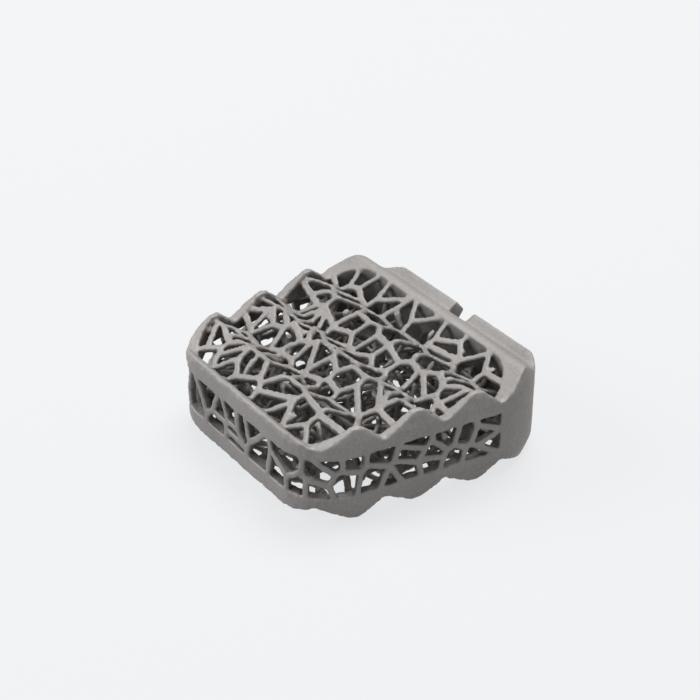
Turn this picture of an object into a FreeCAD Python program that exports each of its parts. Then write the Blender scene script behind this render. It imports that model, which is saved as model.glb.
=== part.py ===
import FreeCAD, Part
import math
import os
import random

# Porous interbody cage, printed in titanium as one piece. Millimetres.
# X runs across the body, Y from the narrow rear to the wide front wall, Z up.
# The origin is the middle of the footprint, on the tips of the lower teeth.
# The body is drawn about its middle plane and lifted at the end.

DEPTH = 17.2                 # rear face to front face
REAR_HALF_WIDTH = 7.2        # half the rear face, before its corners are rounded
SIDE_TAPER = 0.148           # each side opens by this much for each millimetre forwards
REAR_CORNER_R = 3.4
FRONT_CORNER_R = 5.0
HEIGHT = 6.0                 # over the tips of the teeth

PITCH = 3.75                 # from tooth to tooth
TEETH = 6                    # the first and last are cut away by the rear and front faces
FIRST_CREST = -0.65          # from the rear face
FALL = 1.6                   # from a crest forwards to the next trough
TROUGH_DEPTH = 1.05
CREST_R = 0.75
TROUGH_R = 0.42

RIM = 0.62                   # wall of the upper and lower rings
SHOULDER_Z = 2.1             # the outer walls lean in from this height, above and below
SHOULDER_IN = 0.3            # and by this much at the tips of the teeth
FRONT_WALL = 3.1             # thickness of the solid front wall
FRONT_CAVITY_R = 2.6
BEVEL_Y = 0.65               # along the front wall's edges, above and below
BEVEL_Z = 0.8

BAND_HALF_HEIGHT = 1.3       # the porous band between the rings
BAND_END = 12.1              # from the rear face
BAND_WALL = 0.4

STRUT = 0.32
PLATE = 0.27                 # porous plates between the rims, measured upright
PLATE_SINK = 0.06            # the plates lie this far under the rims' troughs and the front wall
CREST_SINK = 0.25            # this far under the rims' crests
PLATE_BITE = 0.25            # and run this far into the rims
PLATE_PORES = 76             # before some are braced
BAND_PORES = 44
PORE_TRIES = 4               # places tried for each pore; more would make them more alike
BRACED_SHARE = 0.3           # of the pores larger than BRACED_LEAST, in square millimetres
BRACED_LEAST = 1.6
SMALLEST_PORE = 0.16         # square millimetres

WEB_ACROSS = 5               # leaning sheets of struts through the cavity, from side to side
WEB_ALONG = 2                # and from the rear to the front wall
WEB_GAP = 5.5                # between the two that run from rear to front
WEB_WIDTH = 21.0             # of a sheet, before it is trimmed to the cavity
WEB_HEIGHT = 8.0
WEB_PORES = 30
WEB_BAR = 0.3
WEB_LEAN = 25                # degrees from upright, at most
WEB_TURN = 12                # degrees from square to the body, at most

SLOT_WIDTH = 1.6             # the holder's slot down the middle of the front wall
SLOT_DEPTH = 1.25
HOLE_R = 1.25                # tapping size of the holder's M3 thread
MOUTH_R = 1.75

CUT = 1.0                    # cutting shapes stand this far out of the body

MIDDLE = HEIGHT / 2
REAR_Y = -DEPTH / 2
FRONT_Y = DEPTH / 2
SLANT = math.hypot(1, SIDE_TAPER)            # run of a side for each millimetre forwards
CORNER_TURN = math.atan2(1, SIDE_TAPER)      # of the wall, round a rear corner
CORNER_X = REAR_HALF_WIDTH - REAR_CORNER_R * (SLANT - SIDE_TAPER)
CORNER_Y = REAR_Y + REAR_CORNER_R
V = FreeCAD.Vector


def mirrored(shape):
    return shape.mirror(V(0, 0, 0), V(0, 0, 1))


def closed(points):
    return Part.makePolygon(points + points[:1])


def across_body(wire):
    """Draws a profile seen from the side right across the body."""
    face = Part.Face(wire)
    face.translate(V(-DEPTH, 0, 0))
    return face.extrude(V(2 * DEPTH, 0, 0))


def pillar(face, low, high):
    """Stands a face of the plan up between two heights."""
    solid = face.extrude(V(0, 0, high - low))
    solid.translate(V(0, 0, low))
    return solid


def rounded_wire(corners, radii):
    """Joins corners by straight lines, each corner rounded by its radius."""
    ends, edges = [], []
    for before, corner, after, radius in zip(corners[-1:] + corners, corners, corners[1:] + corners, radii):
        back, ahead = (before - corner).normalize(), (after - corner).normalize()
        half = back.getAngle(ahead) / 2
        reach = radius / math.tan(half)
        middle = (back + ahead).normalize() * (radius / math.sin(half) - radius)
        ends.append((corner + back * reach, corner + ahead * reach))
        edges.append(Part.Arc(ends[-1][0], corner + middle, ends[-1][1]).toShape())
    for (_, start), (end, _) in zip(ends, ends[1:] + ends[:1]):
        edges.append(Part.makeLine(start, end))
    return Part.Wire(Part.__sortEdges__(edges))


def plan_wire(inset, front_y, front_r):
    """The footprint's outline, drawn in by inset at the rear and the sides."""
    rear_y = REAR_Y + inset
    rear, front = [REAR_HALF_WIDTH + SIDE_TAPER * (y - REAR_Y) - inset * SLANT for y in (rear_y, front_y)]
    corners = [V(rear, rear_y, 0), V(front, front_y, 0), V(-front, front_y, 0), V(-rear, rear_y, 0)]
    return rounded_wire(corners, [REAR_CORNER_R - inset, front_r, front_r, REAR_CORNER_R - inset])


def cavity_wire(inset):
    """The cavity's outline at inset from the outer wall, RIM being the cavity itself."""
    return plan_wire(inset, FRONT_Y - FRONT_WALL + RIM - inset, FRONT_CAVITY_R + RIM - inset)


def crest_y(tooth):
    return REAR_Y + FIRST_CREST + tooth * PITCH


def tangent(first, second):
    """The straight flank that touches two circles of the wave; a trough's radius is negative."""
    (a, radius_a), (b, radius_b) = first, second
    across = b - a
    heading = math.atan2(across.z, across.y) + math.acos((radius_a - radius_b) / across.Length)
    normal = V(0, math.cos(heading), math.sin(heading))
    return a + normal * radius_a, b + normal * radius_b


def wave():
    """The rims' upper edge: round crests and tighter troughs, joined by straight flanks."""
    circles = []
    for tooth in range(TEETH):
        circles.append((V(0, crest_y(tooth), MIDDLE - CREST_R), CREST_R))
        circles.append((V(0, crest_y(tooth) + FALL, MIDDLE - TROUGH_DEPTH + TROUGH_R), -TROUGH_R))
    flanks = [tangent(a, b) for a, b in zip(circles, circles[1:])]
    edges = [Part.makeLine(start, end) for start, end in flanks]
    for (middle, radius), (_, start), (end, _) in zip(circles[1:], flanks, flanks[1:]):
        edges.append(Part.Arc(start, middle + V(0, 0, radius), end).toShape())
    return edges, (flanks[0][0], flanks[-1][1])


def between_waves():
    """Everything between the wavy top and the wavy bottom."""
    upper, ends = wave()
    lower = [mirrored(edge) for edge in upper]
    sides = [Part.makeLine(V(0, end.y, -end.z), end) for end in ends]
    return across_body(Part.Wire(Part.__sortEdges__(upper + lower + sides)))


def leaning_block():
    """The footprint stood up, its walls upright and then leaning in towards the tips of the teeth."""
    upright = plan_wire(0, FRONT_Y, FRONT_CORNER_R)
    drawn_in = plan_wire(SHOULDER_IN, FRONT_Y - SHOULDER_IN, FRONT_CORNER_R - SHOULDER_IN)
    upright.translate(V(0, 0, SHOULDER_Z))
    drawn_in.translate(V(0, 0, MIDDLE))
    shoulder = Part.makeLoft([upright, drawn_in], True, True)
    middle = pillar(Part.Face(plan_wire(0, FRONT_Y, FRONT_CORNER_R)), -SHOULDER_Z, SHOULDER_Z)
    return middle.fuse([shoulder, mirrored(shoulder)])


def front_bevel():
    """The wedge planed off the upper edge of the front wall."""
    low = MIDDLE - TROUGH_DEPTH - BEVEL_Z / 2
    back = FRONT_Y - BEVEL_Y * (MIDDLE - low) / BEVEL_Z
    return across_body(closed([V(0, FRONT_Y, low), V(0, FRONT_Y + CUT, low), V(0, FRONT_Y + CUT, MIDDLE),
                               V(0, back, MIDDLE)]))


def area(polygon):
    """Of a convex polygon, positive where it runs anticlockwise."""
    first = polygon[0]
    return sum((a - first).cross(b - first).z for a, b in zip(polygon[1:], polygon[2:])) / 2


def centre(polygon):
    return V(sum(p.x for p in polygon), sum(p.y for p in polygon), 0) * (1 / len(polygon))


def inside(point, polygon):
    """True where the point is inside a convex polygon that runs anticlockwise."""
    return all((b - a).cross(point - a).z > 0 for a, b in zip(polygon, polygon[1:] + polygon[:1]))


def clipped(polygon, point, normal):
    """What is left of a convex polygon behind the line through point, seen along normal."""
    kept = []
    for before, here in zip(polygon[-1:] + polygon[:-1], polygon):
        a, b = (before - point).dot(normal), (here - point).dot(normal)
        if (a < 0) != (b < 0):
            kept.append(before + (here - before) * (a / (a - b)))
        if b < 0:
            kept.append(here)
    return kept


def scattered(chance, outline, count, tries):
    """Points spread over a convex outline: each is the loneliest of a few random places."""
    xs, ys = [p.x for p in outline], [p.y for p in outline]
    points = []
    while len(points) < count:
        places = []
        while len(places) < tries:
            place = V(chance.uniform(min(xs), max(xs)), chance.uniform(min(ys), max(ys)), 0)
            if inside(place, outline):
                places.append(place)
        points.append(max(places, key=lambda p: min((p.distanceToPoint(q) for q in points), default=0)))
    return points


def cells(seeds, outline, wall):
    """The outline shared out among its seeds, with a wall of even width between neighbours."""
    result = []
    for seed in seeds:
        cell = outline
        for other in seeds:
            if other is not seed:
                half = (seed.distanceToPoint(other) - wall) / 2
                towards = (other - seed).normalize()
                cell = clipped(cell, seed + towards * half, towards)
        result.append(cell)
    return result


def braced(chance, pores):
    """Splits some of the larger pores by one more strut, set at random."""
    result = []
    for pore in pores:
        if area(pore) > BRACED_LEAST and chance.random() < BRACED_SHARE:
            turn = chance.uniform(0, math.pi)
            across = V(math.cos(turn), math.sin(turn), 0)
            edge = across * (STRUT / 2)
            result.append(clipped(pore, centre(pore) - edge, across))
            result.append(clipped(pore, centre(pore) + edge, across * -1))
        else:
            result.append(pore)
    return [pore for pore in result if len(pore) > 2 and area(pore) > SMALLEST_PORE]


def pierced(outline, pores):
    return Part.makeFace([outline] + [closed(pore) for pore in pores], "Part::FaceMakerBullseye")


def cavity_outline(inset):
    """The cavity's outline as a polygon that runs anticlockwise."""
    points = cavity_wire(inset).discretize(Deflection=STRUT / 10)[:-1]
    return points if area(points) > 0 else points[::-1]


def plate_line():
    """The porous plate's upper face seen from the side: flat flanks between crests and troughs."""
    points = []
    for tooth in range(TEETH):
        at_front_wall = crest_y(tooth) > FRONT_Y - FRONT_WALL
        points += [V(0, crest_y(tooth), MIDDLE - (PLATE_SINK if at_front_wall else CREST_SINK)),
                   V(0, crest_y(tooth) + FALL, MIDDLE - PLATE_SINK - TROUGH_DEPTH)]
    return points


def porous_plate(pores):
    """A toothed plate over the cavity, pierced by the pores."""
    upper = plate_line()
    lower = [point - V(0, 0, PLATE) for point in reversed(upper)]
    sheet = pierced(cavity_wire(RIM - PLATE_BITE), pores)
    return pillar(sheet, 0, MIDDLE).common(across_body(closed(upper + lower)))


def on_wall(distance):
    """The place and the outward normal on the outer wall, going round it from the middle of the rear."""
    past_rear = max(abs(distance) - CORNER_X, 0)
    past_corner = max(past_rear - REAR_CORNER_R * CORNER_TURN, 0)
    angle = min(past_rear / REAR_CORNER_R, CORNER_TURN)
    normal, ahead = V(math.sin(angle), -math.cos(angle), 0), V(math.cos(angle), math.sin(angle), 0)
    place = V(min(abs(distance), CORNER_X), CORNER_Y, 0) + normal * REAR_CORNER_R + ahead * past_corner
    side = math.copysign(1, distance)
    return V(side * place.x, place.y, 0), V(side * normal.x, normal.y, 0)


def band_pore(pore):
    """Cuts a pore through the wall, drawn in distance round the wall and height."""
    middle = centre(pore)
    place, normal = on_wall(middle.x)
    along = V(-normal.y, normal.x, 0)
    points = [place + along * (p.x - middle.x) + V(0, 0, p.y) + normal * CUT for p in pore]
    return Part.Face(closed(points)).extrude(normal * -(2 * CUT))


def rectangle(width, height):
    return [V(-width / 2, -height / 2, 0), V(width / 2, -height / 2, 0),
            V(width / 2, height / 2, 0), V(-width / 2, height / 2, 0)]


def band_pores(chance):
    """The pores of the band, from one end of it round the rear to the other."""
    corner_end = CORNER_Y - REAR_CORNER_R * math.cos(CORNER_TURN)
    half = CORNER_X + REAR_CORNER_R * CORNER_TURN + (REAR_Y + BAND_END - corner_end) * SLANT
    strip = rectangle(2 * half, 2 * BAND_HALF_HEIGHT)
    seeds = scattered(chance, strip, BAND_PORES, PORE_TRIES)
    return [band_pore(pore) for pore in braced(chance, cells(seeds, strip, STRUT))]


def holder_hole():
    """The hole through the front wall, which goes on far enough to clear the end of the screw."""
    return Part.makeCylinder(HOLE_R, FRONT_WALL + 2 * CUT, V(0, FRONT_Y - FRONT_WALL - CUT, 0), V(0, 1, 0))


def holder_seat():
    """The slot down the front wall and the open mouth of the hole."""
    slot_corner = V(-SLOT_WIDTH / 2, FRONT_Y - SLOT_DEPTH, -MIDDLE)
    slot = Part.makeBox(SLOT_WIDTH, SLOT_DEPTH + CUT, HEIGHT, slot_corner)
    mouth_y = FRONT_Y - (MOUTH_R - HOLE_R)
    mouth = Part.makeCone(HOLE_R, MOUTH_R + CUT, MOUTH_R - HOLE_R + CUT, V(0, mouth_y, 0), V(0, 1, 0))
    return [slot, mouth]


def frame(chance):
    """The toothed rings, the solid front wall and the pierced band between the rings."""
    band_room = Part.Face(plan_wire(BAND_WALL, REAR_Y + BAND_END, STRUT))
    tools = [pillar(Part.Face(cavity_wire(RIM)), -MIDDLE, MIDDLE),
             pillar(band_room, -BAND_HALF_HEIGHT, BAND_HALF_HEIGHT)]
    tools += [front_bevel(), mirrored(front_bevel()), holder_hole()] + holder_seat() + band_pores(chance)
    return leaning_block().common(between_waves()).cut(tools)


def web_room():
    """The cavity between the middles of the two plates, a little way into the walls round it."""
    plan = plan_wire(BAND_WALL / 2, FRONT_Y - FRONT_WALL + PLATE_BITE, FRONT_CAVITY_R)
    upper = [point - V(0, 0, PLATE / 2) for point in plate_line()]
    lower = [V(0, point.y, -point.z) for point in reversed(upper)]
    room = pillar(Part.Face(plan), -MIDDLE, MIDDLE).common(across_body(closed(upper + lower)))
    return room.cut(holder_hole())


def web_sheet(chance, turn, place, room):
    """A leaning sheet of struts, trimmed to the cavity."""
    outline = rectangle(WEB_WIDTH, WEB_HEIGHT)
    pores = cells(scattered(chance, outline, WEB_PORES, PORE_TRIES), outline, STRUT)
    sheet = pillar(pierced(closed(outline), pores), -WEB_BAR / 2, WEB_BAR / 2)
    sheet.rotate(V(0, 0, 0), V(1, 0, 0), 90 + chance.uniform(-WEB_LEAN, WEB_LEAN))
    sheet.rotate(V(0, 0, 0), V(0, 0, 1), turn + chance.uniform(-WEB_TURN, WEB_TURN))
    sheet.translate(place)
    return sheet.common(room)


def inner_web(chance):
    """Sheets of struts that lean and cross in the cavity, and tie the plates and the band together."""
    room = web_room()
    step = (DEPTH - FRONT_WALL) / WEB_ACROSS
    across = [V(0, REAR_Y + (k + 0.5) * step, 0) for k in range(WEB_ACROSS)]
    along = [V((k - (WEB_ALONG - 1) / 2) * WEB_GAP, 0, 0) for k in range(WEB_ALONG)]
    sheets = [web_sheet(chance, 0, place, room) for place in across]
    return sheets + [web_sheet(chance, 90, place, room) for place in along]


def cage():
    chance = random.Random(11)
    outline = cavity_outline(RIM)
    body = frame(chance)
    plates = []
    for _ in ("upper", "lower"):
        seeds = scattered(chance, outline, PLATE_PORES, PORE_TRIES)
        plates.append(porous_plate(braced(chance, cells(seeds, outline, STRUT))))
    body = body.fuse([plates[0], mirrored(plates[1])] + inner_web(chance))
    body.translate(V(0, 0, MIDDLE))
    return body


if __name__ == "__main__":
    os.makedirs("parts", exist_ok=True)
    cage().exportStep("parts/interbody_cage.step")
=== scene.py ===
import bmesh
import bpy
import random
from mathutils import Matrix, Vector
from mathutils.bvhtree import BVHTree
from mathutils.kdtree import KDTree


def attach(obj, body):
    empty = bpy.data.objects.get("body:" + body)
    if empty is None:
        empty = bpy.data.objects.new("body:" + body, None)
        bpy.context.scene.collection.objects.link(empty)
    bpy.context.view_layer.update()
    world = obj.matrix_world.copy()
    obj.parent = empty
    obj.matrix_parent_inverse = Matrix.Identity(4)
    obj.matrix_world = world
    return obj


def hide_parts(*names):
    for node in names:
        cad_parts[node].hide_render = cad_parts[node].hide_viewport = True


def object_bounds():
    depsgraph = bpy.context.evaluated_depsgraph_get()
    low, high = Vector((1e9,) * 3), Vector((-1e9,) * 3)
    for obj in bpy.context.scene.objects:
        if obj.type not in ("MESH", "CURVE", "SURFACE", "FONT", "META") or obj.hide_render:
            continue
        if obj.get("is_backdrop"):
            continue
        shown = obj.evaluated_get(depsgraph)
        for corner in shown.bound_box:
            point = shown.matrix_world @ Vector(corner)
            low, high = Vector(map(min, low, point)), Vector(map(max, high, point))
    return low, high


# Interbody cage, printed in titanium: sintered metal on a pale floor, soft light from overhead and
# from the rear left. Metres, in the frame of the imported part: X across, Y towards the solid front
# wall, Z up.

MM = 0.001
JOIN = 0.001 * MM                # corners nearer than this are one corner

VOXEL = 0.07 * MM                # grain of the printed skin before it is smoothed
SMOOTHING = 8
POWDER = 0.13 * MM               # from the bottom to the top of the lumps that clinging grains form
POWDER_SUNK = 0.2                # share of that height that lies below the smooth skin
POWDER_LUMP = 0.4 * MM
WALL_POWDER = 0.3                # share of the powder that clings to the solid wall
WALL_BLEND = 1.5 * MM            # over which it grows to what clings to the struts
BODY_TRIANGLES = 190_000
WEB_TRIANGLES = 150_000
SPECK_CORNERS = 200              # a closed skin with fewer corners is a speck and no piece

CLOUD = 4 * MM                   # slow changes of tone
GRAIN = 0.11 * MM
BEAD = 0.16 * MM                 # of powder that melted only on the outside
RELIEF = 0.03 * MM               # height of the grains and beads
# Greys of the metal: its random grain and, at the dark end, painted shade in hollows.
GREYS_FOR_GRAIN_AND_SHADE = [(0.20, (0.135, 0.126, 0.118)), (0.50, (0.195, 0.184, 0.174)), (0.65, (0.243, 0.229, 0.218)),
         (0.76, (0.318, 0.300, 0.286)), (0.88, (0.403, 0.384, 0.368))]

# Painted shade in hollows: the metal is drawn darker where it faces little open air, found by casting rays
# from its skin.
SHADE_RAY_LIFT = 0.05 * MM           # the open air is measured from this far off the skin
SHADE_RAY_REACH = 3 * MM             # and what is further away doesn't cast the painted shade
SHADE_RAY_SLANT = 0.3                # sine of the flattest ray that counts for the painted shade
SHADE_DARKEST_BELOW = 0.15                # share of open air below which the painted shade is darkest
SHADE_GONE_ABOVE = 0.75                # and above which it is at its palest

FRONT_WALL = 3.1 * MM
HOLE_R = 1.25 * MM               # of the holder's hole through the front wall
SCREW_END = 1.0 * MM             # kept free behind the wall

WEB_SEED = 5
WEB_NODES = 240                  # the fine struts of the cavity meet at these
WEB_TRIES = 4                    # places tried for each node
WEB_ARMS = 3                     # neighbours that each node reaches for
WEB_HALF_HEIGHT = 1.6 * MM
WEB_STRUT_R = 0.14 * MM
STRUT_SIDES = 8
STRUT_STEPS = 8                  # a strut is held against the screw's room at each step along it
RING_LEVEL = 4.5 * MM            # a height at which the upper ring is whole
SIDEWAYS = (Vector((1, 0, 0)), Vector((-1, 0, 0)), Vector((0, 1, 0)), Vector((0, -1, 0)))

CAMERA_FROM = Vector((71.76, -52.41, 61.78)) * MM
CAMERA_TO = Vector((-2.10, 0.87, 3.79)) * MM
CAMERA_LENS = 92.4               # for a square frame on a 36 mm sensor

BACKGROUND = (0.896, 0.913, 0.930, 1)
FLOOR_PALE = (0.875, 0.892, 0.907, 1)    # looks the same as the background, once lit
FLOOR_UNSEEN = (0.36, 0.36, 0.37, 1)     # what the floor throws back at the metal
FLOOR_SIZE = 1.2
FLOOR_GLOW = 0.82                # how much of the floor's look is its own pale colour
ROOM_COLOUR = (0.97, 0.99, 1.0, 1)
ROOM_LIGHT = 0.16

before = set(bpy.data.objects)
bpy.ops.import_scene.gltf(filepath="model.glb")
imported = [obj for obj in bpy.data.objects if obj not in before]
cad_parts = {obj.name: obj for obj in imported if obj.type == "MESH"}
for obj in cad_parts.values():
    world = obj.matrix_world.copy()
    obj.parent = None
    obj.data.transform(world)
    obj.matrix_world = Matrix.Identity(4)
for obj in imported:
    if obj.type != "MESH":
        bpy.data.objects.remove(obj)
cad_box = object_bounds()


class Value:
    """A number in a material that varies over the surface. Sums and products add their Math nodes."""

    def __init__(self, nodes, socket):
        self.nodes = nodes
        self.socket = socket

    def math(self, operation, *values):
        return self.nodes.add("ShaderNodeMath", {"operation": operation},
                              dict(enumerate(values))).out("Value")

    def __add__(self, other):
        return self.math("ADD", self, other)

    def __sub__(self, other):
        return self.math("SUBTRACT", self, other)

    def __rsub__(self, other):
        return self.math("SUBTRACT", other, self)

    def __mul__(self, other):
        return self.math("MULTIPLY", self, other)

    __radd__ = __add__
    __rmul__ = __mul__


class Node:
    """One shader node, whose outputs are read by name."""

    def __init__(self, nodes, node):
        self.nodes = nodes
        self.node = node

    def out(self, name):
        return Value(self.nodes, self.node.outputs[name])


class Nodes:
    """The node tree of one material or world."""

    def __init__(self, tree):
        self.tree = tree
        tree.nodes.clear()

    def add(self, kind, settings={}, inputs={}):
        node = self.tree.nodes.new(kind)
        for name, value in settings.items():
            if name == "stops":
                self.set_stops(node.color_ramp, value)
            else:
                setattr(node, name, value)
        for name, value in inputs.items():
            if isinstance(value, Value):
                self.tree.links.new(value.socket, node.inputs[name])
            else:
                node.inputs[name].default_value = value
        return Node(self, node)

    def set_stops(self, ramp, stops):
        while len(ramp.elements) < len(stops):
            ramp.elements.new(1)
        for element, (place, colour) in zip(ramp.elements, stops):
            element.position = place
            element.color = (*colour, 1)


def material_nodes(name):
    material = bpy.data.materials.new(name)
    material.use_nodes = True
    return material, Nodes(material.node_tree)


def noise(nodes, grain, detail, roughness=0.5):
    """Noise on the object's own coordinates, with grains of the given size."""
    place = nodes.add("ShaderNodeTexCoord").out("Object")
    return nodes.add("ShaderNodeTexNoise", {}, {"Vector": place, "Scale": 1 / grain, "Detail": detail,
                                                "Roughness": roughness}).out("Fac")


def bead_distance(nodes, bead):
    """0 in the middle of each bead of powder, and more towards its edge."""
    place = nodes.add("ShaderNodeTexCoord").out("Object")
    return nodes.add("ShaderNodeTexVoronoi", {"feature": "SMOOTH_F1"},
                     {"Vector": place, "Scale": 1 / bead, "Smoothness": 0.6}).out("Distance")


def painted_hollow_shade(nodes):
    """Painted shade in hollows: 0 where the metal faces little open air, and 1 where it faces open air
    from all sides.
    """
    openness = nodes.add("ShaderNodeAttribute", {"attribute_name": "blasted"}).out("Fac")
    return nodes.add("ShaderNodeMapRange", {"clamp": True},
                     {"Value": openness, "From Min": SHADE_DARKEST_BELOW, "From Max": SHADE_GONE_ABOVE}).out("Result")


def colour_ramp(nodes, value, stops):
    return nodes.add("ShaderNodeValToRGB", {"stops": stops}, {"Fac": value}).out("Color")


def sintered_titanium():
    """Printed titanium: matt grey powder grains, with painted shade that makes it dark in hollows and
    inside.
    """
    material, nodes = material_nodes("sintered_titanium")
    clouds = noise(nodes, CLOUD, detail=3)
    powder = noise(nodes, GRAIN, detail=4, roughness=0.6)
    beads = bead_distance(nodes, BEAD)
    grain = clouds * 0.45 + powder * 0.35 + (1 - beads) * 0.2
    # Half of the grey is painted shade, darker where the metal faces little open air; the other half is
    # the metal's grain.
    grain_and_painted_shade = painted_hollow_shade(nodes) * 0.5 + grain * 0.5
    colour = colour_ramp(nodes, grain_and_painted_shade, GREYS_FOR_GRAIN_AND_SHADE)
    relief = powder * 0.6 + (1 - beads) * 0.4
    bump = nodes.add("ShaderNodeBump", {}, {"Strength": 0.35, "Distance": RELIEF,
                                            "Height": relief}).out("Normal")
    skin = nodes.add("ShaderNodeBsdfPrincipled", {}, {"Base Color": colour, "Metallic": 0.5,
                                                      "Roughness": powder * 0.2 + 0.5, "Normal": bump})
    nodes.add("ShaderNodeOutputMaterial", {}, {"Surface": skin.out("BSDF")})
    return material


def cage_copy():
    """The cage's own form, its loose triangles joined."""
    copy = bmesh.new()
    copy.from_mesh(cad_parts["interbody_cage"].data)
    bmesh.ops.remove_doubles(copy, verts=copy.verts, dist=JOIN)
    return copy


def with_modifiers_applied(piece):
    """Makes the mesh of a piece what its modifiers show."""
    shaped = piece.evaluated_get(bpy.context.evaluated_depsgraph_get())
    mesh = bpy.data.meshes.new_from_object(shaped)
    piece.modifiers.clear()
    piece.data = mesh


def islands(form):
    """The corners of each closed skin in a form."""
    left = set(form.verts)
    while left:
        rim = {left.pop()}
        island = set(rim)
        while rim:
            rim = {edge.other_vert(corner) for corner in rim for edge in corner.link_edges} & left
            left -= rim
            island |= rim
        yield island


def without_specks(piece):
    """Takes out the tiny closed skins that lie apart from the piece, such as round a void in a joint."""
    form = bmesh.new()
    form.from_mesh(piece.data)
    specks = [corner for island in islands(form) if len(island) < SPECK_CORNERS for corner in island]
    bmesh.ops.delete(form, geom=specks, context="VERTS")
    form.to_mesh(piece.data)
    form.free()


def kept_in_box(piece):
    """Presses back what the powder puts beyond the cage's measured size."""
    low, high = cad_box
    for point in piece.data.vertices:
        point.co = [min(max(place, least), most) for place, least, most in zip(point.co, low, high)]


def mark_powder(piece):
    """Marks on each point how much powder clings there: all on the struts, little on the solid wall."""
    wall = cad_box[1][1] - FRONT_WALL
    group = piece.vertex_groups.new(name="powder")
    for point in piece.data.vertices:
        share = 1 - (1 - WALL_POWDER) * (point.co.y - wall + WALL_BLEND) / WALL_BLEND
        group.add([point.index], min(max(share, WALL_POWDER), 1), "REPLACE")


def printed(name, form, triangles, lumps, finish):
    """Gives a form the soft edges, fused joints and uneven skin that printing leaves."""
    mesh = bpy.data.meshes.new(name)
    form.to_mesh(mesh)
    form.free()
    piece = bpy.data.objects.new(name, mesh)
    bpy.context.scene.collection.objects.link(piece)
    skin = piece.modifiers.new("skin", "REMESH")
    skin.mode = "VOXEL"
    skin.voxel_size = VOXEL
    skin.use_smooth_shade = True
    soften = piece.modifiers.new("soften", "SMOOTH")
    soften.factor = 0.5
    soften.iterations = SMOOTHING
    with_modifiers_applied(piece)
    mark_powder(piece)
    cling = piece.modifiers.new("cling", "DISPLACE")
    cling.vertex_group = "powder"
    cling.texture = lumps
    cling.texture_coords = "LOCAL"
    cling.strength = POWDER
    cling.mid_level = POWDER_SUNK
    with_modifiers_applied(piece)
    thin = piece.modifiers.new("thin", "DECIMATE")
    thin.ratio = min(1, triangles / (2 * len(piece.data.polygons)))
    with_modifiers_applied(piece)
    without_specks(piece)
    kept_in_box(piece)
    piece.data.materials.clear()
    piece.data.materials.append(finish)
    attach(piece, "root")
    return piece


def in_screw_room(place):
    """True inside the room that the holder's screw needs behind the front wall."""
    low, high = cad_box
    off_axis = Vector((place.x, place.z - (low[2] + high[2]) / 2)).length
    return place.y > high[1] - FRONT_WALL - SCREW_END and off_axis < HOLE_R + WEB_STRUT_R


def strut(web, start, end):
    """Adds a round strut between two points, unless it would cross the screw's room."""
    if any(in_screw_room(start.lerp(end, step / STRUT_STEPS)) for step in range(STRUT_STEPS + 1)):
        return
    along = end - start
    place = along.to_track_quat("Z", "Y").to_matrix().to_4x4()
    place.translation = (start + end) / 2
    bmesh.ops.create_cone(web, cap_ends=True, segments=STRUT_SIDES, radius1=WEB_STRUT_R,
                          radius2=WEB_STRUT_R, depth=along.length, matrix=place)


def in_cavity(place, metal):
    """True where the inner faces of the upper ring go all round the place."""
    level = Vector((place.x, place.y, RING_LEVEL))
    for way in SIDEWAYS:
        met, facing, _, _ = metal.ray_cast(level, way)
        if met is None or facing.dot(way) > 0:
            return False
    return True


def lonely(place, others):
    """Distance from a place to the nearest of the others."""
    return min(((place - other).length for other in others), default=0)


def web_nodes(chance, metal):
    """Places spread through the cavity, each the loneliest of a few random ones."""
    low, high = cad_box
    middle = (low[2] + high[2]) / 2
    nodes = []
    while len(nodes) < WEB_NODES:
        places = []
        while len(places) < WEB_TRIES:
            place = Vector((chance.uniform(low[0], high[0]), chance.uniform(low[1], high[1]),
                            middle + chance.uniform(-WEB_HALF_HEIGHT, WEB_HALF_HEIGHT)))
            if in_cavity(place, metal):
                places.append(place)
        nodes.append(max(places, key=lambda place: lonely(place, nodes)))
    return nodes


def neighbours(nodes):
    """Pairs of nodes, by number: each node with the few that are nearest to it."""
    tree = KDTree(len(nodes))
    for k, node in enumerate(nodes):
        tree.insert(node, k)
    tree.balance()
    pairs = set()
    for k, node in enumerate(nodes):
        for _, other, _ in tree.find_n(node, WEB_ARMS + 1):
            if other != k:
                pairs.add((min(k, other), max(k, other)))
    return sorted(pairs)


def inner_web(cage_form):
    """Fine struts through the cavity, from each node to its neighbours and to the cage."""
    metal = BVHTree.FromBMesh(cage_form)
    nodes = web_nodes(random.Random(WEB_SEED), metal)
    web = bmesh.new()
    for node in nodes:
        strut(web, node, metal.find_nearest(node)[0])
    for a, b in neighbours(nodes):
        strut(web, nodes[a], nodes[b])
    return web


def metal_of(*forms):
    """One search tree of several forms."""
    every = bmesh.new()
    for form in forms:
        mesh = bpy.data.meshes.new("form")
        form.to_mesh(mesh)
        every.from_mesh(mesh)
        bpy.data.meshes.remove(mesh)
    tree = BVHTree.FromBMesh(every)
    every.free()
    return tree


def all_round():
    """Directions spread evenly over a ball."""
    ball = bmesh.new()
    bmesh.ops.create_icosphere(ball, subdivisions=2, radius=1)
    ways = [corner.co.copy() for corner in ball.verts]
    ball.free()
    return ways


def bake_painted_shade(piece, metal, ways):
    """Marks on each point how much of the open air it faces, which sets the painted shade in hollows."""
    openness_layer = piece.data.attributes.new("blasted", "FLOAT", "POINT")
    for point in piece.data.vertices:
        facing = point.normal.copy()
        start = point.co + facing * SHADE_RAY_LIFT
        faced = [way for way in ways if way.dot(facing) > SHADE_RAY_SLANT]
        free = [way for way in faced if metal.ray_cast(start, way, SHADE_RAY_REACH)[0] is None]
        openness_layer.data[point.index].value = len(free) / len(faced)


def seen_background(nodes):
    """1 for the camera and for what the metal reflects, 0 for the light thrown on the cage."""
    ray = nodes.add("ShaderNodeLightPath")
    return ray.out("Is Camera Ray") + ray.out("Is Glossy Ray")


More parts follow.
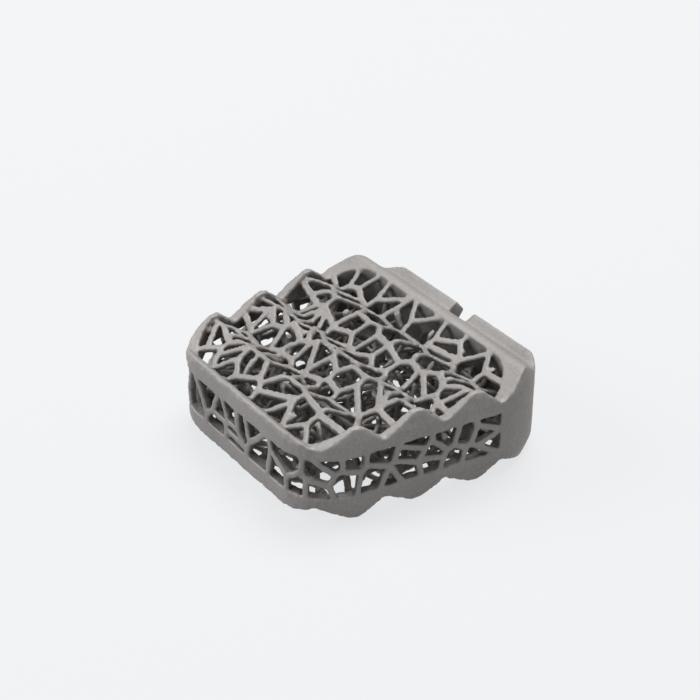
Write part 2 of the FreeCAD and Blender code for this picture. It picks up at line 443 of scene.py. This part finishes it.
def pale_floor():
    """A floor that is seen in the background's colour, with a soft shadow under the cage."""
    material, nodes = material_nodes("pale_floor")
    seen = seen_background(nodes)
    dim = nodes.add("ShaderNodeBsdfDiffuse", {}, {"Color": FLOOR_UNSEEN}).out("BSDF")
    pale = nodes.add("ShaderNodeBsdfDiffuse", {}, {"Color": FLOOR_PALE}).out("BSDF")
    glow = nodes.add("ShaderNodeEmission", {}, {"Color": FLOOR_PALE}).out("Emission")
    glowing = nodes.add("ShaderNodeMixShader", {}, {0: FLOOR_GLOW, 1: pale, 2: glow}).out("Shader")
    mixed = nodes.add("ShaderNodeMixShader", {}, {0: seen, 1: dim, 2: glowing}).out("Shader")
    nodes.add("ShaderNodeOutputMaterial", {}, {"Surface": mixed})
    sheet = bmesh.new()
    bmesh.ops.create_grid(sheet, size=FLOOR_SIZE / 2)
    mesh = bpy.data.meshes.new("floor")
    sheet.to_mesh(mesh)
    sheet.free()
    mesh.materials.append(material)
    floor = bpy.data.objects.new("floor", mesh)
    bpy.context.scene.collection.objects.link(floor)
    floor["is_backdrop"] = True


def surroundings():
    """An even pale room, seen in the background's colour."""
    world = bpy.data.worlds.new("room")
    world.use_nodes = True
    bpy.context.scene.world = world
    nodes = Nodes(world.node_tree)
    seen = seen_background(nodes)
    room = nodes.add("ShaderNodeBackground", {}, {"Color": ROOM_COLOUR,
                                                  "Strength": ROOM_LIGHT}).out("Background")
    backdrop = nodes.add("ShaderNodeBackground", {}, {"Color": BACKGROUND}).out("Background")
    mixed = nodes.add("ShaderNodeMixShader", {}, {0: seen, 1: room, 2: backdrop}).out("Shader")
    nodes.add("ShaderNodeOutputWorld", {}, {"Surface": mixed})


def soft_lamp(name, place, size, watts, colour):
    """A square lamp that faces the cage."""
    lamp = bpy.data.lights.new(name, "AREA")
    lamp.size = size
    lamp.energy = watts
    lamp.color = colour
    holder = bpy.data.objects.new(name, lamp)
    holder.location = place
    holder.rotation_euler = (-place).to_track_quat("-Z", "Y").to_euler()
    bpy.context.scene.collection.objects.link(holder)


def camera():
    lens = bpy.data.cameras.new("camera")
    lens.lens = CAMERA_LENS
    lens.clip_start = 1 * MM
    holder = bpy.data.objects.new("camera", lens)
    holder.location = CAMERA_FROM
    holder.rotation_euler = (CAMERA_TO - CAMERA_FROM).to_track_quat("-Z", "Y").to_euler()
    bpy.context.scene.collection.objects.link(holder)
    bpy.context.scene.camera = holder


camera()
surroundings()
pale_floor()
soft_lamp("overhead", place=Vector((-0.06, 0.11, 0.31)), size=0.20, watts=0.86, colour=(1.0, 0.99, 0.98))
soft_lamp("rear_left", place=Vector((-0.20, -0.22, 0.16)), size=0.20, watts=0.66, colour=(0.98, 0.98, 1.0))

titanium = sintered_titanium()
lumps = bpy.data.textures.new("powder_lumps", "CLOUDS")
lumps.noise_scale = POWDER_LUMP
cage_form = cage_copy()
web_form = inner_web(cage_form)
metal = metal_of(cage_form, web_form)
cage = printed("printed_cage", cage_form, BODY_TRIANGLES, lumps, titanium)
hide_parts("interbody_cage")
web = printed("fine_web", web_form, WEB_TRIANGLES, lumps, titanium)
ways = all_round()
# Bakes the painted shade in hollows on both printed pieces.
for piece in (cage, web):
    bake_painted_shade(piece, metal, ways)

bpy.context.scene.view_settings.view_transform = "Standard"

[[list(corner) for corner in box] for box in (cad_box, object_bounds())]
